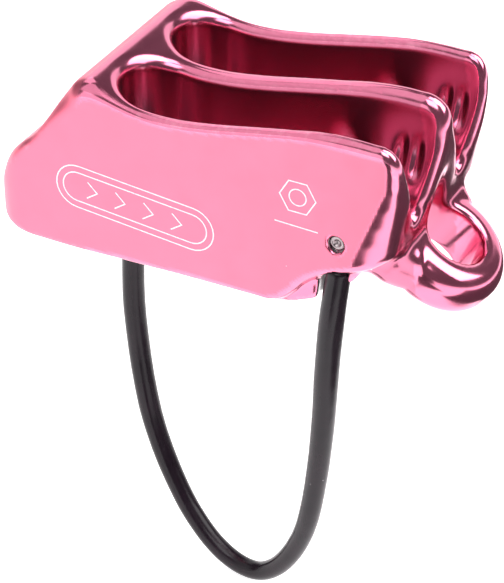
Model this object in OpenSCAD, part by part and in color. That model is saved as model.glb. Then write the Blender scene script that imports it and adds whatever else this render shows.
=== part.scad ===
/* [Body] */
// Full width of the body across both rope slots
body_w = 34.8; // [34:0.1:36]
// Radius of the nose corners seen from above
corner_r = 6.3; // [5:0.1:7]

/* [Rope slots] */
// Distance between the two slots' centre planes
slot_pitch = 16.7; // [16.4:0.1:17]
// Width of one rope slot
slot_w = 12.4; // [11.5:0.1:12.4]
// Centre of the round end beside the nose
slot_x0 = 21.5; // [21:0.1:22.5]
// Centre of the round end beside the release eye
slot_x1 = 47.8; // [46.5:0.1:48]
// Height of the V-groove's floor above the anchor hole's mid-plane
groove_floor = 9.7; // [9:0.1:11]
// Height at which the V-groove has opened to the slot's full width
groove_top = 22; // [20:0.5:24]
// Radius of the V-groove's floor
groove_r = 1.6; // [1.2:0.1:2]

/* [Anchor hole and release eye] */
// Radius of the anchor hole
anchor_r = 5.8; // [5:0.1:5.8]
// Radius of the release eye's hole
eye_r = 5.3; // [4.6:0.1:5.6]
// Outer radius of the release eye
eye_outer_r = 10.3; // [9.8:0.1:10.8]
// Rounding of the release eye's outer edges
eye_round = 3.6; // [2:0.1:4]
// Thickness of the release eye's tab
eye_t = 8.7; // [8.2:0.1:9]
// Slope of the release eye's tab below the horizontal
eye_slope = 33; // [30:1:36]

/* [Keeper] */
// Diameter of the keeper's plastic sheath
sheath_d = 3.8; // [3.4:0.1:3.8]
// Diameter of the steel cable inside the sheath
cable_d = 2.4; // [2:0.1:2.4]
// Radius of the two bores that hold the keeper's ends
bore_r = 2.05; // [1.95:0.01:2.05]
// Radius of the wider mouth of the right-hand bore
mouth_r = 2.5; // [2.3:0.05:2.6]
// Lean of the right-hand bore towards the release eye
bore_lean = 6.2; // [4:0.1:8]
// Diameter of the retaining pin
pin_d = 2.5; // [2:0.1:2.6]

/* [Hidden] */

$fn = 64;
half_w = body_w / 2;
slot_y = slot_pitch / 2;
slot_r = slot_w / 2;

// Outline of the side: the nose at the left, then the dipped top
upper_side = [[-4.5, -6.75], [-7.6, -6.2], [-9.2, -5.2], [-9.7, -3.6], [-8.9, -1.6], [-7, 0.9],
              [-5, 3.5], [-2.7, 6.8], [0, 9.7], [2.4, 11.9], [4.9, 15.2], [7.1, 18.8],
              [8.6, 21.2], [9.8, 22.9], [11.9, 24], [14, 23.9], [17, 22.7], [20, 21.9],
              [24, 21.4], [29, 21.6], [35, 22.5], [41, 23.7], [47, 24.9], [53, 26.1],
              [58, 26.8], [61, 26.9]];
// The underside, which rises at the right
under_side = [[61, 4.2], [58, 3.1], [55, 1.9], [52.6, 0.7], [50.3, -1.1], [48.5, -3.2],
              [46.5, -5], [44, -5.9], [42, -5.9], [32, -6.1], [20, -6.5], [10, -6.9], [2, -6.9]];
// The belly between the two side walls, which reaches lower beside the keeper's mouth
belly_side = [[42, -5.9], [45.3, -5.7], [47.9, -4.85], [50.2, -3.8], [52.5, -2.6], [55, -1.3],
              [57.1, 0.3], [58.3, 1.7], [59, 3], [59.6, 4.2], [59.6, 6], [42, 6]];
belly_half_w = 16;
// The right-hand end
top_corner = [61.4, 21.6];
top_corner_r = 5.4;
low_corner = [62.2, 7.4];
low_corner_r = 2.2;

// The curve of the nose seen from above
nose_plan_x = 16;
nose_plan_r = 25.6;
nose_plan_angle = 35;
body_x1 = 67;
plan_corner_r = 3.5;

// The release eye's centre, and how far its root reaches back up the slope
eye_at = [65.5, 0, 0];
eye_root = [[-10, 13], [-3.5, 12.3], [-1.3, 11], [0, eye_outer_r]];

// The keeper's mouths: at the right in the near wall, at the left between the slots
right_mouth = [54.3, -14.6, -4.2];
left_mouth = [11, 0, -7];
right_bore_depth = 19.3;
left_bore_depth = 15;
mouth_depth = 4.2;
sleeve_r = 1.95;
sleeve_end_gap = 1;
right_sleeve_start = 7;
left_sleeve_start = 3.4;
cable_end_depth = 3;
pin_x = 55.5;
pin_z = 7.8;
pin_recess = 0.7;
pin_inner_y = -12.1;
clearance = 0.05;
cut = 40;

// The keeper's route from the right-hand mouth down and back up to the left-hand mouth
route = [right_mouth, [53.9, -14.5, -8], [53.4, -14.2, -13], [52.7, -13.5, -20.5],
         [51.9, -12.5, -29.5], [50.8, -11.5, -39], [49.4, -10.5, -48], [48, -9.7, -54.5],
         [46.3, -9, -59.7], [44, -8.5, -64.6], [41.3, -8, -68.5], [38.2, -7.5, -71.1],
         [34.8, -7, -71.9], [31.2, -6.5, -71.2], [27.8, -6, -69.3], [24.5, -5.3, -66.5],
         [21.4, -4.6, -62.8], [17.5, -3.5, -56.5], [14.3, -2.4, -49.5], [12.2, -1.4, -42.3],
         [10.8, -0.6, -35], [10, -0.2, -27], [10, 0, -19], [10.4, 0, -12], left_mouth];
tube_sides = 8;

// Points on an arc in the plane, both ends included
function arc(c, r, a0, a1, n) = [for (i = [0:n]) let (a = a0 + (a1 - a0) * i / n)
    [c[0] + r * cos(a), c[1] + r * sin(a)]];

// One point of a Catmull-Rom curve through b and c
function curve_at(a, b, c, d, t) = 0.5 * (2 * b + (c - a) * t
    + (2 * a - 5 * b + 4 * c - d) * t * t + (3 * b - a - 3 * c + d) * t * t * t);

// A smooth curve through a list of points, both ends included
function curve(p, n) = let (m = len(p) - 1) concat([for (i = [0:m - 1]) for (k = [0:n - 1])
    curve_at(p[max(i - 1, 0)], p[i], p[i + 1], p[min(i + 2, m)], k / n)], [p[m]]);

function unit(v) = v / norm(v);

// Direction of the route at point i
function along(p, i) = unit(p[min(i + 1, len(p) - 1)] - p[max(i - 1, 0)]);

// One ring of a tube round point i of the route, square to the route
function ring(p, i, r, sides) = let (t = along(p, i), u = unit(cross(t, [0, 1, 0])), v = cross(t, u))
    [for (k = [0:sides - 1]) let (a = 360 * k / sides) p[i] + r * (cos(a) * u + sin(a) * v)];

// Side faces between successive rings; first is the index of the first ring's first point
function skin(rings, sides, first, flip) = [for (i = [0:rings - 2]) for (k = [0:sides - 1])
    let (a = first + i * sides + k, b = first + i * sides + (k + 1) % sides)
    flip ? [a, a + sides, b + sides, b] : [a, b, b + sides, a + sides]];

// Flat ring-shaped end between an outer and an inner ring
function end_ring(outer, inner, sides, flip) = [for (k = [0:sides - 1])
    let (n = (k + 1) % sides)
    flip ? [outer + k, inner + k, inner + n, outer + n] : [outer + k, outer + n, inner + n, inner + k]];

module tube(p, r, sides) {
    rings = len(p);
    last = (rings - 1) * sides;
    points = [for (i = [0:rings - 1]) for (q = ring(p, i, r, sides)) q];
    faces = concat(skin(rings, sides, 0, false), [[for (k = [sides - 1:-1:0]) k]],
                   [[for (k = [0:sides - 1]) last + k]]);
    polyhedron(points, faces, convexity = 6);
}

module hollow_tube(p, r_out, r_in, sides) {
    rings = len(p);
    inner = rings * sides;
    last = (rings - 1) * sides;
    points = concat([for (i = [0:rings - 1]) for (q = ring(p, i, r_out, sides)) q],
                    [for (i = [0:rings - 1]) for (q = ring(p, i, r_in, sides)) q]);
    faces = concat(skin(rings, sides, 0, false), skin(rings, sides, inner, true),
                   end_ring(0, inner, sides, true), end_ring(last, inner + last, sides, false));
    polyhedron(points, faces, convexity = 6);
}

module side_outline() {
    polygon(concat(curve(upper_side, 5), arc(top_corner, top_corner_r, 84, 6, 10),
                   arc(low_corner, low_corner_r, -6, -60, 4), curve(under_side, 4)));
}

module plan_outline() {
    tip = [nose_plan_x, 0];
    upper = concat(arc(tip, nose_plan_r, 180, 180 - nose_plan_angle, 10),
                   arc([0.2, half_w - corner_r], corner_r, 180 - nose_plan_angle, 90, 6),
                   arc([body_x1 - plan_corner_r, half_w - plan_corner_r], plan_corner_r, 90, 0, 4));
    polygon(concat(upper, [for (i = [len(upper) - 1:-1:1]) [upper[i][0], -upper[i][1]]]));
}

module block() {
    intersection() {
        translate([0, half_w, 0]) rotate([90, 0, 0]) linear_extrude(body_w) side_outline();
        translate([0, 0, -cut]) linear_extrude(2 * cut) plan_outline();
    }
}

module belly() {
    translate([0, belly_half_w, 0]) rotate([90, 0, 0])
        linear_extrude(2 * belly_half_w) polygon(belly_side);
}

module eye_frame() {
    translate(eye_at) rotate([0, eye_slope, 0]) children();
}

module eye_tab() {
    lower = [for (i = [len(eye_root) - 1:-1:0]) [eye_root[i][0], -eye_root[i][1]]];
    edge = eye_outer_r - eye_round;
    top = eye_t / 2 - eye_round;
    eye_frame() {
        rotate_extrude() polygon(concat([[0, -eye_t / 2]], arc([edge, -top], eye_round, -90, 0, 5),
                                        arc([edge, top], eye_round, 0, 90, 5), [[0, eye_t / 2]]));
        translate([0, 0, -eye_t / 2]) linear_extrude(eye_t) polygon(concat(eye_root, lower));
    }
}

module rope_slot() {
    for (x = [slot_x0, slot_x1]) translate([x, 0, -cut / 2]) cylinder(h = 2 * cut, r = slot_r);
    translate([slot_x0, -slot_r, -cut / 2]) cube([slot_x1 - slot_x0, slot_w, 2 * cut]);
}

module v_groove() {
    floor_z = groove_floor + groove_r;
    translate([slot_x1, 0, 0]) rotate([90, 0, 90]) linear_extrude(cut) union() {
        translate([0, floor_z]) circle(groove_r);
        polygon([[-groove_r, floor_z], [groove_r, floor_z], [slot_r, groove_top],
                 [slot_r, cut], [-slot_r, cut], [-slot_r, groove_top]]);
    }
}

module right_bore_frame() {
    translate(right_mouth) rotate([0, bore_lean, 0]) children();
}

// The keeper's two bores, and the wider mouth of the right-hand one
module keeper_bores() {
    right_bore_frame() translate([0, 0, -cut]) {
        cylinder(h = cut + right_bore_depth, r = bore_r);
        cylinder(h = cut + mouth_depth, r = mouth_r);
    }
    translate(left_mouth) translate([0, 0, -cut]) cylinder(h = cut + left_bore_depth, r = bore_r);
}

module along_pin() {
    translate([pin_x, pin_inner_y, pin_z]) rotate([90, 0, 0]) children();
}

module pin_hole() {
    along_pin() cylinder(h = cut, r = pin_d / 2 + clearance);
}

module body() {
    color("palevioletred") difference() {
        union() {
            block();
            belly();
            eye_tab();
        }
        for (s = [-1, 1]) translate([0, s * slot_y, 0]) {
            rope_slot();
            v_groove();
        }
        translate([0, 0, -cut]) cylinder(h = 2 * cut, r = anchor_r);
        eye_frame() translate([0, 0, -eye_t]) cylinder(h = cut, r = eye_r);
        keeper_bores();
        pin_hole();
    }
}

module keeper_sheath() {
    color("black") hollow_tube(route, sheath_d / 2, cable_d / 2, tube_sides);
}

module keeper_cable() {
    color("silver") tube(route, cable_d / 2 - clearance, tube_sides);
}

// A swaged sleeve near the bore's blind end: its lower end has the socket that holds the cable
module end_sleeve(start, bore_depth) {
    translate([0, 0, start]) difference() {
        cylinder(h = bore_depth - sleeve_end_gap - start, r = sleeve_r);
        translate([0, 0, -1]) cylinder(h = 1 + cable_end_depth, r = cable_d / 2);
    }
}

module end_sleeve_right() {
    color("lightgray") difference() {
        right_bore_frame() end_sleeve(right_sleeve_start, right_bore_depth);
        pin_hole();
    }
}

module end_sleeve_left() {
    color("lightgray") translate(left_mouth) end_sleeve(left_sleeve_start, left_bore_depth);
}

module retaining_pin() {
    color("silver") along_pin() cylinder(h = half_w - pin_recess + pin_inner_y, r = pin_d / 2);
}

body();
keeper_sheath();
keeper_cable();
end_sleeve_right();
end_sleeve_left();
retaining_pin();
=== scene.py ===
"""Looks of the belay device: one anodised aluminium body and its plastic-covered keeper loop."""
import math

import bpy
import numpy as np
import openvdb
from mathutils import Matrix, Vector


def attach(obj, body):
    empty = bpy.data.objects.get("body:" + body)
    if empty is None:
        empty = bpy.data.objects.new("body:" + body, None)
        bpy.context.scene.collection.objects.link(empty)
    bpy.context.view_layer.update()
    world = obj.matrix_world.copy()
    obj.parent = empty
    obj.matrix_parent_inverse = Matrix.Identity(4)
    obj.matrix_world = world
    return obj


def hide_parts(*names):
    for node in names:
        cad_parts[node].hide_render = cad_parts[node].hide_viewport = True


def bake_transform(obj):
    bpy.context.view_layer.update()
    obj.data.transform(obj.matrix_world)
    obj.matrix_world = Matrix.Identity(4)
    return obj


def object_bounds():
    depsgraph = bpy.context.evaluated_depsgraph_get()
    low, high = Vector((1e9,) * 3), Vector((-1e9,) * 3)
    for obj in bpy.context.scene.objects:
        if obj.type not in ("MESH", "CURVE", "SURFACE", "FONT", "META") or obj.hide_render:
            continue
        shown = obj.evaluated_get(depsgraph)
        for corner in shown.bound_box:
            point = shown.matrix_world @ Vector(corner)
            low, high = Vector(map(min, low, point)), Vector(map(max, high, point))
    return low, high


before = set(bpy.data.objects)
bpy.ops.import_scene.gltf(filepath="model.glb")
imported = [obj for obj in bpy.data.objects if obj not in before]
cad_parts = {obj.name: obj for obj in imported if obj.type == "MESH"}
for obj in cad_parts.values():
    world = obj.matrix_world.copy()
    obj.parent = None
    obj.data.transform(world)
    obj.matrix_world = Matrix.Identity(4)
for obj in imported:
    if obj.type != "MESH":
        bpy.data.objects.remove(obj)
cad_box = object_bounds()

MM = 0.001

# ---------------------------------------------------------------- camera

CAMERA_AT = (0.17307, -0.26993, 0.19142)
CAMERA_FORWARD = (-0.3802, 0.7303, -0.5676)
LENS_MM = 160.6
SENSOR_MM = 36.0


def make_camera():
    data = bpy.data.cameras.new("camera")
    data.sensor_fit = "HORIZONTAL"
    data.sensor_width = SENSOR_MM
    data.lens = LENS_MM
    data.clip_start = 0.01
    camera = bpy.data.objects.new("camera", data)
    bpy.context.scene.collection.objects.link(camera)
    camera.location = CAMERA_AT
    camera.rotation_euler = Vector(CAMERA_FORWARD).to_track_quat("-Z", "Y").to_euler()
    bpy.context.scene.camera = camera


make_camera()

# ---------------------------------------------------------------- keeper cord

# Route of the keeper in millimetres, as in the CAD source
ROUTE = [(54.3, -14.6, -4.2), (53.9, -14.5, -8), (53.4, -14.2, -13), (52.7, -13.5, -20.5),
         (51.9, -12.5, -29.5), (50.8, -11.5, -39), (49.4, -10.5, -48), (48, -9.7, -54.5),
         (46.3, -9, -59.7), (44, -8.5, -64.6), (41.3, -8, -68.5), (38.2, -7.5, -71.1),
         (34.8, -7, -71.9), (31.2, -6.5, -71.2), (27.8, -6, -69.3), (24.5, -5.3, -66.5),
         (21.4, -4.6, -62.8), (17.5, -3.5, -56.5), (14.3, -2.4, -49.5), (12.2, -1.4, -42.3),
         (10.8, -0.6, -35), (10, -0.2, -27), (10, 0, -19), (10.4, 0, -12), (11, 0, -7)]
# The lengths inside the bores: the plastic stops first, the steel goes on into its sleeves
SHEATH_ENDS = (55, -14.6, 2.2), (11.05, 0, -3.9)
CORE_ENDS = (55.27, -14.6, 4.7), (11, 0, -1.6)
CORE_R = 1.12
PATH_STEP = 0.8
SHEATH_SIDES = 40
SMOOTHING_PASSES = 60
# Distance along the sheath from its right-hand end, and its radius there
SHEATH_RADII = [(0, 1.98), (6, 2), (10, 2.06), (25, 1.99), (40, 1.88), (56, 1.8), (78, 1.66), (96, 1.75),
                (116, 1.92), (160, 1.95)]


def smooth_path(points, step):
    """Evenly spaced points, `step` apart, on a Catmull-Rom curve through the given ones."""
    p = np.array(points, float)
    p = np.vstack([2 * p[0] - p[1], p, 2 * p[-1] - p[-2]])
    dense = []
    t = np.linspace(0, 1, 40, endpoint=False)[:, None]
    for i in range(1, len(p) - 2):
        a, b, c, d = p[i - 1:i + 3]
        dense.append(0.5 * (2 * b + (c - a) * t + (2 * a - 5 * b + 4 * c - d) * t ** 2
                            + (3 * b - a - 3 * c + d) * t ** 3))
    dense = np.vstack(dense + [p[-2:-1]])
    for _ in range(SMOOTHING_PASSES):
        dense[1:-1] = 0.25 * dense[:-2] + 0.5 * dense[1:-1] + 0.25 * dense[2:]
    run = np.r_[0, np.cumsum(np.linalg.norm(np.diff(dense, axis=0), axis=1))]
    at = np.linspace(0, run[-1], int(run[-1] / step) + 1)
    return np.stack([np.interp(at, run, dense[:, k]) for k in range(3)], 1)


def path_frames(path):
    """Tangent and two square directions at each point, carried along without twist."""
    tangent = np.gradient(path, axis=0)
    tangent /= np.linalg.norm(tangent, axis=1)[:, None]
    side = np.zeros_like(path)
    current = np.cross(tangent[0], (0, 1, 0))
    for i, t in enumerate(tangent):
        current = current - t * (current @ t)
        current = current / np.linalg.norm(current)
        side[i] = current
    return tangent, side, np.cross(tangent, side)


def new_object(name, verts_mm, faces, smooth=True):
    mesh = bpy.data.meshes.new(name)
    mesh.from_pydata((np.asarray(verts_mm) * MM).tolist(), [], faces)
    mesh.update()
    if smooth:
        mesh.polygons.foreach_set("use_smooth", [True] * len(mesh.polygons))
    obj = bpy.data.objects.new(name, mesh)
    bpy.context.scene.collection.objects.link(obj)
    return obj


def swept_tube(name, path, radii, sides):
    """A closed tube round the path; radii holds one radius per point, or one per point and side."""
    _, u, v = path_frames(path)
    a = 2 * math.pi * np.arange(sides) / sides
    ring = np.cos(a)[None, :, None] * u[:, None] + np.sin(a)[None, :, None] * v[:, None]
    radii = np.broadcast_to(np.asarray(radii).reshape(len(path), -1), (len(path), sides))
    verts = (path[:, None] + radii[..., None] * ring).reshape(-1, 3)
    faces = []
    last = (len(path) - 1) * sides
    for i in range(0, last, sides):
        for k in range(sides):
            m = (k + 1) % sides
            faces.append((i + k, i + m, i + sides + m, i + sides + k))
    faces.append(tuple(range(sides - 1, -1, -1)))
    faces.append(tuple(last + k for k in range(sides)))
    return new_object(name, verts, faces)


def make_sheath():
    path = smooth_path([SHEATH_ENDS[0]] + ROUTE + [SHEATH_ENDS[1]], PATH_STEP)
    run = np.arange(len(path)) * PATH_STEP
    at, radius = np.array(SHEATH_RADII).T
    uneven = 0.006 * np.sin(0.61 * run) + 0.004 * np.sin(1.7 * run)
    return swept_tube("keeper_sheath_cover", path, np.interp(run, at, radius) + uneven, SHEATH_SIDES), path


def make_core():
    """The steel cable: its six outer strands wind round it."""
    path = smooth_path([CORE_ENDS[0], SHEATH_ENDS[0]] + ROUTE + [SHEATH_ENDS[1], CORE_ENDS[1]], PATH_STEP)
    sides = 48
    strands = 6
    lay_mm = 14
    angle = 2 * math.pi * np.arange(sides) / sides
    turn = 2 * math.pi * np.arange(len(path)) * PATH_STEP / lay_mm
    bulge = np.abs(np.cos(strands / 2 * (angle[None, :] - turn[:, None])))
    return swept_tube("keeper_cable_core", path, CORE_R - 0.16 * (1 - bulge), sides)


sheath, sheath_path = make_sheath()
core = make_core()

# The real keeper bends just below the line through its two mouths; this line and the direction down from
# it are worked out here, but nothing uses them
HINGE_RIGHT = Vector(ROUTE[0]) * MM
HINGE_LEFT = Vector(ROUTE[-1]) * MM
hinge_axis = (HINGE_LEFT - HINGE_RIGHT).normalized()
away = Vector((0, 0, -1))
away = (away - hinge_axis * away.dot(hinge_axis)).normalized()

# ---------------------------------------------------------------- the body's shape

# Sizes in millimetres. Most are the CAD source's. The right-hand bore and its mouth, the groove's
# top, the crest, the belly's outline and the plan's corner radii are this script's own.
HALF_W = 17.4
SLOT_Y = 8.35
SLOT_R = 6.2
SLOT_X = (21.5, 47.8)
GROOVE_R = 1.6
GROOVE_Z = 11.3
GROOVE_TOP = 25.5
# The groove's floor narrows from the slot's end to here
GROOVE_NARROW_X = 57.5
# A slot's half-width grows by this much from FLARE_Z over FLARE_HEIGHT
SLOT_FLARE = 0.4
FLARE_Z = 8
FLARE_HEIGHT = 16
EYE_X = 65.5
EYE_SLOPE = math.radians(33)
EYE_R = 5.3
EYE_OUTER_R = 10.3
EYE_T = 8.7
EYE_ROUND = 3.6
EYE_ARCH_BACK = 5.6
EYE_ARCH_R = 1.3
EYE_ROOT = ((-10, -3.5, -1.3, 0), (13, 12.3, 11, EYE_OUTER_R))
ANCHOR_R = 5.8
# Radii of the rounded rims round the holes
ANCHOR_RIM = 1.8
EYE_RIM = 0.6
BORE_RIM = 0.22
RIGHT_MOUTH = np.array([54.3, -14.6, -4.2])
BORE_LEAN = math.radians(6.2)
RIGHT_BORE_R = 2.15
MOUTH_R = 2.6
MOUTH_DEPTH = 4.2
LEFT_BORE_R = 2.05
PIN_X = 55.5
PIN_Z = 7.8
PIN_R = 1.25
PIN_HOLE_R = 1.3
PIN_INNER_Y = -12.1
RIGHT_BORE_DEPTH = 19.3
LEFT_BORE_X = 11
LEFT_BORE_TOP_Z = 8
FURROWS_X = (59.6, 62.1)
FURROW_DEPTH = 0.95
FURROW_W = 0.6
BELLY_HALF_W = 16
# Further out than this, a point is on or near a side panel
PANEL_Y = 17
BODY_X1 = 67
TOP_CORNER = (61.4, 21.6)
TOP_CORNER_R = 5.4
LOW_CORNER = (62.2, 7.4)
LOW_CORNER_R = 2.2
NOSE_PLAN_X = 16
NOSE_PLAN_R = 25.6
NOSE_CORNER_X = 0.2
NOSE_CORNER_R = 6.3
# Heights between which the plan's corner radius runs from its largest to its smallest
CORNER_Z = (5.4, 19.4)
CORNER_RADII = (4.0, 5.5, 7.0, 8.5, 10.0)
VOXEL = 0.42

UPPER_SIDE = [(-4.5, -6.75), (-7.6, -6.2), (-9.2, -5.2), (-9.7, -3.6), (-8.9, -1.6), (-7, 0.9),
              (-5, 3.5), (-2.7, 6.8), (0, 9.7), (2.4, 11.9), (4.9, 15.2), (7.1, 18.8),
              (8.6, 21), (9.8, 22.6), (11.9, 23.7), (14, 23.7), (17, 22.7), (20, 21.9),
              (24, 21.4), (29, 21.6), (35, 22.5), (41, 23.7), (47, 24.9), (53, 26.1),
              (58, 26.8), (61, 26.9)]
UNDER_SIDE = [(61, 4.2), (58, 3.1), (55, 1.9), (52.6, 0.7), (50.3, -1.1), (48.5, -3.2),
              (46.5, -5), (44, -5.9), (42, -5.9), (32, -6.1), (20, -6.5), (10, -6.9), (2, -6.9)]
BELLY_SIDE = [(42, -6.3), (45.3, -6.4), (47.9, -5.7), (50.2, -4.7), (52.5, -3.6), (55, -1.9),
              (57.1, 0.1), (58.3, 1.7), (59, 3), (59.6, 4.2), (59.6, 6), (42, 6)]


def curve(points, count):
    """A Catmull-Rom curve through the points, both ends included."""
    p = np.array(points, float)
    out = []
    t = np.arange(count)[:, None] / count
    last = len(p) - 1
    for i in range(last):
        a, b, c, d = p[max(i - 1, 0)], p[i], p[i + 1], p[min(i + 2, last)]
        out.append(0.5 * (2 * b + (c - a) * t + (2 * a - 5 * b + 4 * c - d) * t ** 2
                          + (3 * b - a - 3 * c + d) * t ** 3))
    return np.vstack(out + [p[-1:]])


def arc(centre, radius, start, end, count):
    a = np.radians(np.linspace(start, end, count))
    return np.stack([centre[0] + radius * np.cos(a), centre[1] + radius * np.sin(a)], 1)


def smoothstep(x, low, high):
    t = np.clip((x - low) / (high - low), 0, 1)
    return t * t * (3 - 2 * t)


def side_outline():
    return np.vstack([curve(UPPER_SIDE, 12), arc(TOP_CORNER, TOP_CORNER_R, 84, 6, 24),
                      arc(LOW_CORNER, LOW_CORNER_R, -6, -60, 10), curve(UNDER_SIDE, 12)])


def plan_outline(corner):
    """The body seen from above; the radius of its right-hand corners is given."""
    upper = np.vstack([arc((NOSE_PLAN_X, 0), NOSE_PLAN_R, 180, 145, 40),
                       arc((NOSE_CORNER_X, HALF_W - NOSE_CORNER_R), NOSE_CORNER_R, 145, 90, 24),
                       arc((BODY_X1 - corner, HALF_W - corner), corner, 90, 0, 24)])
    return np.vstack([upper, upper[:0:-1] * (1, -1)])


def polygon_distance(px, py, poly):
    """Signed distance from points to a closed outline, negative inside."""
    shape = px.shape
    px, py = px.ravel(), py.ravel()
    best = np.full(px.shape, 1e9)
    inside = np.zeros(px.shape, bool)
    for (ax, ay), (bx, by) in zip(poly, np.roll(poly, -1, axis=0)):
        ex, ey = bx - ax, by - ay
        length2 = ex * ex + ey * ey
        if length2 < 1e-12:
            continue
        wx, wy = px - ax, py - ay
        t = np.clip((wx * ex + wy * ey) / length2, 0, 1)
        best = np.minimum(best, (wx - ex * t) ** 2 + (wy - ey * t) ** 2)
        if ay != by:
            crosses = (ay > py) != (by > py)
            inside ^= crosses & (px < ex * (py - ay) / (by - ay) + ax)
    return (np.sqrt(best) * np.where(inside, -1, 1)).reshape(shape)


def round_max(a, b, r):
    """Intersection of two solids with its edge rounded to radius r."""
    u, v = np.maximum(r + a, 0), np.maximum(r + b, 0)
    return np.minimum(-r, np.maximum(a, b)) + np.sqrt(u * u + v * v)


def smooth_min(a, b, k):
    h = np.clip(0.5 + 0.5 * (b - a) / k, 0, 1)
    return b + (a - b) * h - k * h * (1 - h)


def right_bore(x, y, z):
    """Distance from the leaning bore's axis, and distance along it from the mouth."""
    dx, dy, dz = x - RIGHT_MOUTH[0], y - RIGHT_MOUTH[1], z - RIGHT_MOUTH[2]
    along = dx * math.sin(BORE_LEAN) + dz * math.cos(BORE_LEAN)
    return np.sqrt(np.maximum(dx * dx + dy * dy + dz * dz - along * along, 0)), along


def block_distance(gx, gy, gz):
    """The outer block: side outline, plan outline and the lower belly between the walls."""
    x, y, z = gx[:, None, None], gy[None, :, None], gz[None, None, :]
    seen_from_side = np.meshgrid(gx, gz, indexing="ij")
    seen_from_top = np.meshgrid(gx, gy, indexing="ij")
    side = polygon_distance(*seen_from_side, side_outline())[:, None, :]
    # The plan's corner radius grows towards the underside
    outlines = np.stack([polygon_distance(*seen_from_top, plan_outline(r)) for r in CORNER_RADII], axis=-1)
    wanted = np.interp(gz, CORNER_Z, (CORNER_RADII[-1], CORNER_RADII[0]))
    step = CORNER_RADII[1] - CORNER_RADII[0]
    place = (wanted - CORNER_RADII[0]) / step
    lower = np.minimum(place.astype(int), len(CORNER_RADII) - 2)
    part = place - lower
    plan = outlines[..., lower] * (1 - part) + outlines[..., lower + 1] * part
    nose = smoothstep(-x, -2, 4)
    scoop = smoothstep(x, 44, 50) * smoothstep(-z, -8, 0)
    corner = 1.7 * smoothstep(x, 46, 60) * smoothstep(z, 14, 22)
    crest = np.exp(-((x - 10) / 5) ** 2) * smoothstep(z, 13, 20)
    edge = 1.0 + 0.3 * smoothstep(z, 4, 12) + 0.5 * scoop + 1.0 * nose + 2.0 * crest + 0.9 * corner
    belly = polygon_distance(*seen_from_side, np.array(BELLY_SIDE))[:, None, :]
    belly = round_max(belly, np.abs(y) - BELLY_HALF_W, 0.4)
    return smooth_min(round_max(side, plan, edge), belly, 0.6)


def eye_fields(x, y, z):
    """The slanted ring with full round edges, and the hole that runs up into the middle wall."""
    c, s = math.cos(EYE_SLOPE), math.sin(EYE_SLOPE)
    along = (x - EYE_X) * c - z * s
    across = (x - EYE_X) * s + z * c
    radius = np.sqrt(along ** 2 + y ** 2)
    root = np.abs(y) - np.interp(along, *EYE_ROOT)
    root = np.maximum(root, np.maximum(along, -10 - along))
    tab = round_max(np.minimum(radius - EYE_OUTER_R, root), np.abs(across) - EYE_T / 2, EYE_ROUND)
    hole = radius - EYE_R - 0.2 * np.clip(across - 4, 0, 12)
    arch = np.sqrt((along + EYE_ARCH_BACK) ** 2 + y ** 2) - EYE_ARCH_R
    return tab, smooth_min(hole, arch, 3)


def slot_cut(x, y, z):
    """One rope slot whose walls lean over into a V-groove; its faces carry two furrows each."""
    dx = np.maximum(SLOT_X[0] - x, 0) + np.maximum(x - SLOT_X[1], 0)
    flare = SLOT_FLARE * (z - FLARE_Z) / FLARE_HEIGHT
    slot = np.sqrt(dx ** 2 + y ** 2) - SLOT_R - flare
    # Half-width at the groove's floor: the slot's own at its end, the groove's further on
    floor_w = SLOT_R + (GROOVE_R - SLOT_R) * smoothstep(x, SLOT_X[1], GROOVE_NARROW_X)
    rise = 1 - (1 - np.clip((z - GROOVE_Z) / (GROOVE_TOP - GROOVE_Z), 0, 1)) ** 1.7
    half = floor_w + (SLOT_R + flare - floor_w) * rise
    lean = (SLOT_R - floor_w) / (GROOVE_TOP - GROOVE_Z)
    vee = (np.abs(y) - half) / np.sqrt(1 + lean * lean)
    for middle in FURROWS_X:
        reach = smoothstep(z, 13.5, 16) * smoothstep(-z, -21.5, -17)
        vee = vee - FURROW_DEPTH * reach * np.exp(-((x - middle) / FURROW_W) ** 2)
    floor = np.sqrt(y ** 2 + (z - GROOVE_Z) ** 2) - GROOVE_R
    vee = smooth_min(np.maximum(vee, GROOVE_Z - z), floor, 0.8)
    return smooth_min(slot, np.maximum(vee, SLOT_X[1] - x), 0.3 + 1.5 * smoothstep(-z, -20, -14))


def body_distance(gx, gy, gz):
    """Distance fields on a grid given by its axes: the body without small holes, and the whole body."""
    x, y, z = gx[:, None, None], gy[None, :, None], gz[None, None, :]
    tab, eye_hole = eye_fields(x, y, z)
    solid = smooth_min(block_distance(gx, gy, gz), tab, 2.0)
    for sign in (-1, 1):
        rim = 0.6 + 1.1 * smoothstep(z, -3, 6) + 0.7 * smoothstep(x, 52, 62) * smoothstep(z, 18, 23)
        solid = round_max(solid, -slot_cut(x, y - sign * SLOT_Y, z), rim)
    solid = round_max(solid, ANCHOR_R - np.sqrt(x ** 2 + y ** 2) + 0 * z, ANCHOR_RIM)
    solid = round_max(solid, -eye_hole, EYE_RIM)
    radius, along = right_bore(x, y, z)
    wide = RIGHT_BORE_R - 0.1 * smoothstep(along, 6.6, 7.4)
    bore = np.maximum(radius - wide, along - RIGHT_BORE_DEPTH)
    mouth = np.maximum(radius - MOUTH_R, along - MOUTH_DEPTH)
    left = np.maximum(np.sqrt((x - LEFT_BORE_X) ** 2 + y ** 2) - LEFT_BORE_R, z - LEFT_BORE_TOP_Z)
    pin = np.maximum(np.sqrt((x - PIN_X) ** 2 + (z - PIN_Z) ** 2) - PIN_HOLE_R, y - PIN_INNER_Y)
    whole = solid
    for hole in (bore, mouth, left, pin):
        whole = round_max(whole, -hole, BORE_RIM)
    return solid, whole


def blur(field):
    """One pass of a small separable smoothing."""
    for axis in range(3):
        a = np.moveaxis(field, axis, 0)
        a[1:-1] = 0.25 * a[:-2] + 0.5 * a[1:-1] + 0.25 * a[2:]
    return field


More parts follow.
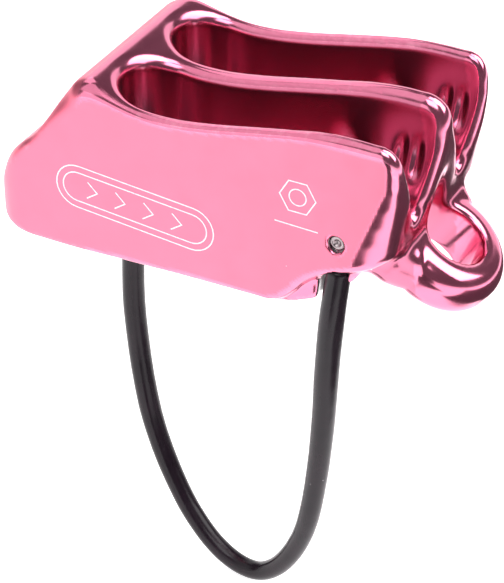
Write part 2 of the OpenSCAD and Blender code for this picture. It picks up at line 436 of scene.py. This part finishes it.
def sample(field, points, origin, voxel):
    """Trilinear value of a grid at points."""
    q = (points - origin) / voxel
    q = np.clip(q, 0, np.array(field.shape[:3]) - 1.001)
    i = q.astype(int)
    f = q - i
    out = 0
    for corner in range(8):
        d = np.array([corner >> 2 & 1, corner >> 1 & 1, corner & 1])
        w = np.prod(np.where(d, f, 1 - f), axis=1)
        j = i + d
        value = field[j[:, 0], j[:, 1], j[:, 2]]
        out = out + (value.T * w).T
    return out


def set_attribute(obj, name, values):
    layer = obj.data.attributes.new(name, "FLOAT", "POINT")
    layer.data.foreach_set("value", np.asarray(values, np.float32))


def finish_masks(body, points, normals, bend):
    """Where the surface is satin, on a slot's steep walls (painted shade), bare of anodising or worn, one
    value per point.
    """
    x, y, z = points.T
    side = smoothstep(np.abs(normals[:, 1]), 0.99, 0.998) * (np.abs(y) > PANEL_Y)
    nose = smoothstep(-x, -12.4, -10.8)
    set_attribute(body, "satin", np.maximum(side, nose))
    in_slot = (np.abs(np.abs(y) - SLOT_Y) < SLOT_R + 0.8) & (x > SLOT_X[0] - SLOT_R - 0.8) & (x < 65.5)
    steep = smoothstep(-np.abs(normals[:, 2]), -0.75, -0.5)
    # Painted shade: the steep walls inside the slots get a darker pink that stands in for the shade deep
    # in the slots
    set_attribute(body, "slot_shade", in_slot * steep * (x + 0.3 * z < 69))
    radius, along = right_bore(x, y, z)
    inside = smoothstep(y, -17.3, -16.9)
    wall = np.where(along < MOUTH_DEPTH + 0.15, MOUTH_R, RIGHT_BORE_R) + 0.12
    bore = (radius < wall) * (along < 19.5) * np.where(z > 1.2, inside, 1)
    pin = smoothstep(-np.hypot(x - PIN_X, z - PIN_Z), -1.42, -1.32) * inside * (y < -12)
    set_attribute(body, "bare", np.maximum(bore, pin))
    set_attribute(body, "wear", smoothstep(bend, 0.35, 1.1))


def flatten_panels(points, normals, outer):
    """Make the two side panels truly flat; the keeper's bore lies too close behind one for the grid."""
    x, y, z = points.T
    outer = outer / np.linalg.norm(outer, axis=1)[:, None]
    clear = np.hypot(x - PIN_X, z - PIN_Z) > PIN_HOLE_R + 0.4
    near = (np.abs(y) > PANEL_Y) & clear
    normals[near] = outer[near]
    flat = near & (np.abs(outer[:, 1]) > 0.995)
    points[flat, 1] = np.sign(y[flat]) * HALF_W
    normals[flat] = np.sign(y[flat])[:, None] * np.array([0.0, 1.0, 0.0])


def make_body():
    low = np.array([-12.0, -20.0, -12.0])
    high = np.array([79.0, 20.0, 30.0])
    axes = [np.arange(a, b, VOXEL) for a, b in zip(low, high)]
    outer, field = (blur(f.astype(np.float32)) for f in body_distance(*axes))
    band = 4 * VOXEL
    grid = openvdb.FloatGrid(band)
    grid.copyFromArray(np.clip(field, -band, band), tolerance=0.0)
    points, quads = grid.convertToQuads(isovalue=0.0)
    points = points * VOXEL + low
    slope = np.stack(np.gradient(field, VOXEL), axis=-1)
    outer_slope = np.stack(np.gradient(outer, VOXEL), axis=-1)
    for _ in range(3):
        value = sample(field, points, low, VOXEL)
        g = sample(slope, points, low, VOXEL)
        points = points - g * (value / np.maximum((g ** 2).sum(1), 1e-4))[:, None]
    g = sample(slope, points, low, VOXEL)
    normals = g / np.linalg.norm(g, axis=1)[:, None]
    flatten_panels(points, normals, sample(outer_slope, points, low, VOXEL))
    # How strongly the surface bends outwards, for wear along the edges
    bends = sum(np.gradient(outer_slope[..., k], VOXEL, axis=k) for k in range(3))
    bend = sample(bends, points, low, VOXEL)
    a, b, c = (points[quads[:, k]] for k in range(3))
    facing = (np.cross(b - a, c - a) * normals[quads[:, 0]]).sum(1)
    if np.median(facing) < 0:
        quads = quads[:, ::-1]
    body = new_object("anodised_body", points, quads.tolist())
    finish_masks(body, points, normals, bend)
    body.data.normals_split_custom_set_from_vertices(normals.tolist())
    return body


body = make_body()

# ---------------------------------------------------------------- pin and engraving


def make_pin():
    """The retaining pin: a turned pin with a chamfer and a punched dimple in its outer end."""
    inner, outer = -12.15, -16.7
    profile = [(0, inner), (PIN_R - 0.2, inner), (PIN_R, inner - 0.2), (PIN_R, outer + 0.22),
               (PIN_R - 0.06, outer + 0.08), (PIN_R - 0.22, outer), (0.72, outer), (0.62, outer + 0.1),
               (0.4, outer + 0.34), (0.18, outer + 0.46), (0, outer + 0.5)]
    sides = 48
    a = 2 * math.pi * np.arange(sides) / sides
    verts = [(PIN_X, inner, PIN_Z)]
    for radius, y in profile[1:-1]:
        verts += [(PIN_X + radius * c, y, PIN_Z + radius * s) for c, s in zip(np.cos(a), np.sin(a))]
    verts.append((PIN_X, profile[-1][1], PIN_Z))
    faces = [(0, 1 + (k + 1) % sides, 1 + k) for k in range(sides)]
    rings = len(profile) - 2
    for i in range(rings - 1):
        for k in range(sides):
            m = (k + 1) % sides
            p, q = 1 + i * sides, 1 + (i + 1) * sides
            faces.append((p + k, p + m, q + m, q + k))
    top = 1 + (rings - 1) * sides
    faces += [(len(verts) - 1, top + k, top + (k + 1) % sides) for k in range(sides)]
    return new_object("retaining_pin_end", verts, faces)


LINE_W = 0.2
LINE_PROUD = 0.02
TRACK_AT = (21, 4.4)
TRACK_LEAN = -5
# How far the leaning track falls per millimetre
TRACK_FALL = 0.087
BADGE_AT = (49.2, 14.4)


def turned(points, centre, degrees):
    a = math.radians(degrees)
    c, s = math.cos(a), math.sin(a)
    return [(centre[0] + x * c - z * s, centre[1] + x * s + z * c) for x, z in points]


def circle_line(centre, radius, start=0, end=360, count=36):
    return arc(centre, radius, start, end, count).tolist()


def oblong(centre, length, width, degrees, count=14):
    """A closed outline with two round ends."""
    r, half = width / 2, (length - width) / 2
    outline = arc((half, 0), r, -90, 90, count).tolist() + arc((-half, 0), r, 90, 270, count).tolist()
    return turned(outline + outline[:1], centre, degrees)


def drawing_lines():
    """Plain geometric marks where the object carries printed instructions, which are left out."""
    track = [oblong(TRACK_AT, length, width, TRACK_LEAN) for length, width in ((28, 7.6), (25.6, 5.2))]
    chevrons = [turned([(-0.9, 1.5), (0.9, 0), (-0.9, -1.5)],
                       (TRACK_AT[0] + k, TRACK_AT[1] - TRACK_FALL * k), TRACK_LEAN)
                for k in (-7.5, -2.5, 2.5, 7.5)]
    # Seven points close a hexagon
    badge = [circle_line(BADGE_AT, 3, count=7), circle_line(BADGE_AT, 1.4)]
    rule = [[(45.4, 9.4), (52.6, 9.2)]]
    return track + chevrons + badge + rule


def make_drawing():
    """Thin raised lines on the near side panel, each a closed strip."""
    verts, faces = [], []
    front, back = -HALF_W - LINE_PROUD, -HALF_W + LINE_PROUD
    for line in drawing_lines():
        p = np.array(line, float)
        closed = np.linalg.norm(p[0] - p[-1]) < 1e-6
        if closed:
            p = p[:-1]
        before = np.roll(p, 1, 0) if closed else np.vstack([p[:1] - (p[1] - p[0]), p[:-1]])
        after = np.roll(p, -1, 0) if closed else np.vstack([p[1:], p[-1:] + (p[-1] - p[-2])])
        d0 = (p - before) / np.linalg.norm(p - before, axis=1)[:, None]
        d1 = (after - p) / np.linalg.norm(after - p, axis=1)[:, None]
        square = np.stack([-(d0 + d1)[:, 1], (d0 + d1)[:, 0]], 1)
        square /= np.maximum(np.linalg.norm(square, axis=1), 1e-6)[:, None]
        lean = np.maximum(np.abs(square[:, 0] * -d0[:, 1] + square[:, 1] * d0[:, 0]), 0.5)
        off = square * (LINE_W / 2 / lean)[:, None]
        base = len(verts)
        for centre, o in zip(p, off):
            a, b = centre + o, centre - o
            verts += [(a[0], front, a[1]), (b[0], front, b[1]), (b[0], back, b[1]), (a[0], back, a[1])]
        count = len(p)
        for i in range(count if closed else count - 1):
            m, n = base + 4 * i, base + 4 * ((i + 1) % count)
            faces += [(m + k, n + k, n + (k + 1) % 4, m + (k + 1) % 4) for k in range(4)]
        if not closed:
            e = base + 4 * (count - 1)
            faces += [(base, base + 1, base + 2, base + 3), (e + 3, e + 2, e + 1, e)]
    return new_object("side_engraving", verts, faces, smooth=False)


pin = make_pin()
drawing = make_drawing()

# ---------------------------------------------------------------- materials


def new_material(name):
    material = bpy.data.materials.new(name)
    material.use_nodes = True
    nodes = material.node_tree.nodes
    return material, nodes, material.node_tree.links, nodes["Principled BSDF"]


def add(nodes, kind, **settings):
    node = nodes.new(kind)
    for key, value in settings.items():
        if hasattr(node, key):
            setattr(node, key, value)
        else:
            node.inputs[key.replace("_", " ")].default_value = value
    return node


def link(links, *pairs):
    for source, target in pairs:
        links.new(source, target)


def noise(nodes, links, scale, detail=3.0, stretch=None):
    """Noise in object space; its scale is in waves per metre."""
    place = nodes.new("ShaderNodeTexCoord")
    texture = add(nodes, "ShaderNodeTexNoise")
    texture.inputs["Scale"].default_value = scale
    texture.inputs["Detail"].default_value = detail
    source = place.outputs["Object"]
    if stretch:
        mapping = nodes.new("ShaderNodeMapping")
        mapping.inputs["Scale"].default_value = stretch
        links.new(source, mapping.inputs["Vector"])
        source = mapping.outputs["Vector"]
    links.new(source, texture.inputs["Vector"])
    return texture.outputs["Fac"]


def ranged(nodes, links, source, low, high, start=0.3, end=0.7):
    """Maps a value from start..end to low..high; low and high may be sockets."""
    node = nodes.new("ShaderNodeMapRange")
    node.inputs["From Min"].default_value = start
    node.inputs["From Max"].default_value = end
    for name, value in (("To Min", low), ("To Max", high)):
        if hasattr(value, "node"):
            links.new(value, node.inputs[name])
        else:
            node.inputs[name].default_value = value
    links.new(source, node.inputs["Value"])
    return node.outputs["Result"]


def mixed(nodes, links, factor, a, b):
    """Mix of two colours, each a socket or a fixed colour."""
    node = nodes.new("ShaderNodeMix")
    node.data_type = "RGBA"
    links.new(factor, node.inputs[0])
    for socket, value in ((node.inputs[6], a), (node.inputs[7], b)):
        if hasattr(value, "node"):
            links.new(value, socket)
        else:
            socket.default_value = value
    return node.outputs[2]


def attribute(nodes, name):
    return add(nodes, "ShaderNodeAttribute", attribute_name=name).outputs["Fac"]


def specks(nodes, links, scale, size):
    """A few tiny round spots: 1 in a spot, 0 between them."""
    place = nodes.new("ShaderNodeTexCoord")
    cells = nodes.new("ShaderNodeTexVoronoi")
    cells.inputs["Scale"].default_value = scale
    links.new(place.outputs["Object"], cells.inputs["Vector"])
    spot = ranged(nodes, links, cells.outputs["Distance"], 1, 0, size * 0.6, size)
    split = nodes.new("ShaderNodeSeparateColor")
    links.new(cells.outputs["Color"], split.inputs["Color"])
    chosen = ranged(nodes, links, split.outputs[0], 0, 1, 0.9, 0.94)
    both = add(nodes, "ShaderNodeMath", operation="MULTIPLY")
    link(links, (spot, both.inputs[0]), (chosen, both.inputs[1]))
    return both.outputs[0]


def bumped(nodes, links, shader, height, distance, strength=1.0):
    bump = nodes.new("ShaderNodeBump")
    bump.inputs["Distance"].default_value = distance
    if hasattr(strength, "node"):
        links.new(strength, bump.inputs["Strength"])
    else:
        bump.inputs["Strength"].default_value = strength
    link(links, (height, bump.inputs["Height"]), (bump.outputs["Normal"], shader.inputs["Normal"]))


PINK = (0.82, 0.235, 0.37, 1)
PINK_DEEP = (0.78, 0.205, 0.335, 1)
PINK_SATIN = (0.88, 0.19, 0.285, 1)
# A darker pink painted on the slot walls as shade
PINK_SLOT_SHADE = (0.6, 0.17, 0.27, 1)
PINK_PALE = (0.93, 0.42, 0.55, 1)
BARE_METAL = (0.66, 0.64, 0.64, 1)


def anodised_material():
    """Anodised aluminium: blasted on the sides and nose, polished elsewhere, bare in the bores, with
    painted shade darkening the slot walls.
    """
    material, nodes, links, shader = new_material("pink_anodised")
    shader.inputs["Metallic"].default_value = 1.0
    satin, bare, wear, slot_shade = (attribute(nodes, name) for name in ("satin", "bare", "wear", "slot_shade"))
    cloudy = ranged(nodes, links, noise(nodes, links, 90), 0, 1)
    pink = mixed(nodes, links, cloudy, PINK, PINK_DEEP)
    pink = mixed(nodes, links, satin, pink, PINK_SATIN)
    # Painted shade: the slot walls turn a darker pink
    pink = mixed(nodes, links, slot_shade, pink, PINK_SLOT_SHADE)
    scuffed = ranged(nodes, links, noise(nodes, links, 900, 5), 0, 0.5, 0.45, 0.75)
    edge = add(nodes, "ShaderNodeMath", operation="MULTIPLY")
    link(links, (scuffed, edge.inputs[0]), (wear, edge.inputs[1]))
    pink = mixed(nodes, links, edge.outputs[0], pink, PINK_PALE)
    pink = mixed(nodes, links, specks(nodes, links, 420, 0.045), pink, (0.97, 0.8, 0.86, 1))
    links.new(mixed(nodes, links, bare, pink, BARE_METAL), shader.inputs["Base Color"])

    patchy = noise(nodes, links, 260, 4)
    polished = ranged(nodes, links, patchy, 0.125, 0.175)
    blasted = ranged(nodes, links, patchy, 0.36, 0.42)
    rough = ranged(nodes, links, satin, polished, blasted, 0, 1)
    rough = ranged(nodes, links, slot_shade, rough, 0.2, 0, 1)
    links.new(ranged(nodes, links, bare, rough, 0.3, 0, 1), shader.inputs["Roughness"])
    grain = noise(nodes, links, 5200, 2)
    bumped(nodes, links, shader, grain, 0.00003, ranged(nodes, links, satin, 0.03, 0.32, 0, 1))
    return material


def sheath_material():
    """Extruded plastic: glossy, faintly ribbed along its length, with a little dust."""
    material, nodes, links, shader = new_material("black_sheath")
    shader.inputs["Specular IOR Level"].default_value = 0.25
    dust = specks(nodes, links, 520, 0.07)
    tone = mixed(nodes, links, ranged(nodes, links, noise(nodes, links, 160), 0, 1),
                 (0.007, 0.004, 0.007, 1), (0.014, 0.008, 0.013, 1))
    links.new(mixed(nodes, links, dust, tone, (0.34, 0.31, 0.33, 1)), shader.inputs["Base Color"])
    fine = noise(nodes, links, 700, 4, stretch=(1, 1, 0.12))
    links.new(ranged(nodes, links, fine, 0.16, 0.3), shader.inputs["Roughness"])
    bumped(nodes, links, shader, fine, 0.00006, 0.25)
    return material


def steel_material(name, tone, stretch):
    """Turned or drawn steel with fine lines across one direction."""
    material, nodes, links, shader = new_material(name)
    shader.inputs["Metallic"].default_value = 1.0
    lines = noise(nodes, links, 1500, 4, stretch=stretch)
    pale = tuple(min(1, 1.25 * c) for c in tone) + (1,)
    links.new(mixed(nodes, links, ranged(nodes, links, lines, 0, 1), tone + (1,), pale),
              shader.inputs["Base Color"])
    links.new(ranged(nodes, links, noise(nodes, links, 2400, 3), 0.2, 0.42), shader.inputs["Roughness"])
    bumped(nodes, links, shader, lines, 0.00002, 0.5)
    return material


def engraving_material():
    """Laser-marked lines: the dye is burnt out and a matt white oxide is left."""
    material, nodes, links, shader = new_material("laser_mark")
    shader.inputs["Metallic"].default_value = 1.0
    mottle = ranged(nodes, links, noise(nodes, links, 2600, 4), 0, 1)
    links.new(mixed(nodes, links, mottle, (1.0, 0.9, 0.94, 1), (0.97, 0.8, 0.87, 1)),
              shader.inputs["Base Color"])
    links.new(ranged(nodes, links, mottle, 0.55, 0.8, 0, 1), shader.inputs["Roughness"])
    bumped(nodes, links, shader, mottle, 0.00001, 0.5)
    return material


def set_material(obj, material):
    obj.data.materials.clear()
    obj.data.materials.append(material)


set_material(body, anodised_material())
set_material(sheath, sheath_material())
set_material(drawing, engraving_material())
set_material(pin, steel_material("pin_steel_cut", (0.33, 0.28, 0.29), (1, 1, 1)))
set_material(core, steel_material("cable_steel_drawn", (0.5, 0.5, 0.51), (1, 1, 0.2)))
sleeve_steel = steel_material("sleeve_steel_turned", (0.55, 0.55, 0.56), (0.15, 0.15, 1))
for node in ("end_sleeve_right", "end_sleeve_left"):
    set_material(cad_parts[node], sleeve_steel)

# ---------------------------------------------------------------- what rides on what

for piece, node, slot in ((body, "body", "anodised_body"), (pin, "retaining_pin", "pin_steel")):
    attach(piece, "device")
    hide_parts(node)
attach(drawing, "device")

# The keeper's sheath and cable stay fixed in place, and the CAD's own keeper pieces are hidden
for piece, node, slot in ((sheath, "keeper_sheath", "sheath_plastic"),
                          (core, "keeper_cable", "cable_steel")):
    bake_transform(piece)
    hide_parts(node)

# ---------------------------------------------------------------- studio


def make_floor():
    material, _, _, shader = new_material("studio_white")
    shader.inputs["Base Color"].default_value = (0.85, 0.85, 0.85, 1)
    shader.inputs["Roughness"].default_value = 0.9
    shader.inputs["Emission Color"].default_value = (1, 1, 1, 1)
    shader.inputs["Emission Strength"].default_value = 0.69
    size = 1.5
    gap = 0.0005
    z = cad_box[0][2] - gap
    floor = new_object("studio_floor", np.array([(-size, -size, z), (size, -size, z), (size, size, z),
                                                 (-size, size, z)]) / MM, [(0, 1, 2, 3)], smooth=False)
    set_material(floor, material)


STUDIO_MIDDLE = Vector((0.035, 0, 0.01))
CARD_BLACK = (0.06, 0.05, 0.055, 1)
REFLECTED_WORLD = (0.17, 0.155, 0.165, 1)
SEEN_WORLD = (1, 1, 1, 1)


def softbox(name, towards, distance, width, height, radiance):
    """A rectangular light of the given brightness, seen from the object in the given direction."""
    data = bpy.data.lights.new(name, "AREA")
    data.shape = "RECTANGLE"
    data.size, data.size_y = width, height
    data.energy = radiance * math.pi * width * height
    light = bpy.data.objects.new(name, data)
    light.visible_camera = False
    bpy.context.scene.collection.objects.link(light)
    aim = Vector(towards).normalized()
    light.location = STUDIO_MIDDLE + aim * distance
    light.rotation_euler = (-aim).to_track_quat("-Z", "Y").to_euler()


def dark_card(name, low, high):
    """A matt black card, flat or upright along x, which gives polished metal its dark bands."""
    material, _, _, shader = new_material(name)
    shader.inputs["Base Color"].default_value = CARD_BLACK
    shader.inputs["Roughness"].default_value = 1.0
    corners = [low, (high[0], low[1], low[2]), high, (low[0], high[1], high[2])]
    card = new_object(name, np.array(corners), [(0, 1, 2, 3)], smooth=False)
    # Seen only in reflections, so it leaves no mark on the floor
    card.visible_camera = False
    card.visible_shadow = False
    card.visible_diffuse = False
    set_material(card, material)


def make_world():
    """Dim to reflections, pale to the camera."""
    world = bpy.data.worlds.new("studio")
    world.use_nodes = True
    nodes, links = world.node_tree.nodes, world.node_tree.links
    rays = nodes.new("ShaderNodeLightPath")
    tone = mixed(nodes, links, rays.outputs["Is Camera Ray"], REFLECTED_WORLD, SEEN_WORLD)
    links.new(tone, nodes["Background"].inputs["Color"])
    bpy.context.scene.world = world


# Name, direction seen from the object, distance, width and height in metres, radiance
SOFTBOXES = (
    ("overhead", (0.28, -0.02, 0.96), 0.8, 0.42, 0.5, 3.6),
    ("right_strip", (0.66, 0.2, 0.71), 0.8, 0.6, 0.8, 4.5),
    ("upper_left", (-0.5, -0.38, 0.78), 0.8, 0.75, 0.95, 0.85),
    ("high_left", (-0.62, 0.4, 0.67), 0.8, 0.45, 0.45, 1.2),
    ("front_left", (-0.5, -0.84, 0.1), 0.8, 0.8, 0.5, 1.2),
    ("front_top", (0.22, -0.6, 0.77), 0.8, 0.5, 0.42, 3.8),
    ("backdrop", (-0.25, 0.96, 0.12), 0.9, 1.5, 0.85, 1.15),
)
# Name and two opposite corners in millimetres. Three lie just above the floor and one stands up
CARD_Z = -71
DARK_CARDS = (
    ("front_card", (38, -240, CARD_Z), (124, -95, CARD_Z)),
    ("upright_card", (30, -240, CARD_Z), (170, -240, 0)),
    ("right_card", (92, -52, CARD_Z), (330, 300, CARD_Z)),
    ("back_card", (80, 40, CARD_Z), (92, 300, CARD_Z)),
)


def make_studio():
    make_world()
    make_floor()
    for light in SOFTBOXES:
        softbox(*light)
    for card in DARK_CARDS:
        dark_card(*card)
    scene = bpy.context.scene
    scene.view_settings.view_transform = "Standard"
    scene.view_settings.look = "None"


make_studio()
